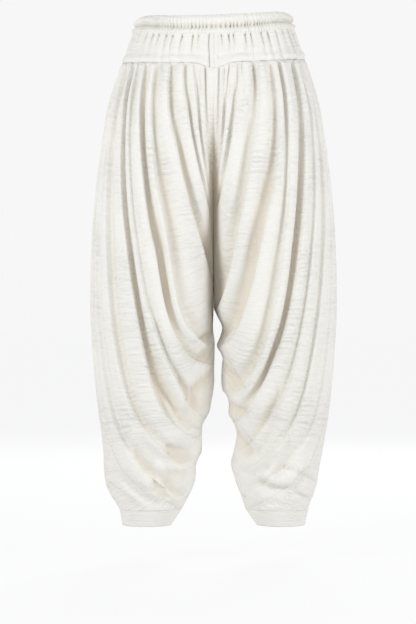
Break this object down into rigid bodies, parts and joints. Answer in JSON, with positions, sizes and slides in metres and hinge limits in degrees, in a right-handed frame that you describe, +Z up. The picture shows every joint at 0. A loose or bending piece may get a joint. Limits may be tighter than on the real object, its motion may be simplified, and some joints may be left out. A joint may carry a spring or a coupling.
{
  "type": "patiala salwar",
  "caption": "Wide trousers with pleated, swagging legs on a gathered hip yoke, an elastic waistband and plain ankle bands, in worn shape.",
  "frame": {"origin": "middle of the waist opening, half way up the waistband, where the wearer holds the garment up", "axes": "+Z up, +Y towards the wearer's front, +X towards the wearer's right"},
  "size_m": [0.4798, 0.2685, 0.9941],
  "materials": {
    "cloth": "soft matt, slub viscose"
  },
  "bodies": {
    "root": {"waistband": "cloth", "yoke_left": "cloth", "yoke_right": "cloth", "leg_left_back": "cloth", "leg_left_front": "cloth", "leg_right_back": "cloth", "leg_right_front": "cloth", "ankle_band_left": "cloth", "ankle_band_right": "cloth"}
  },
  "joints": []
}
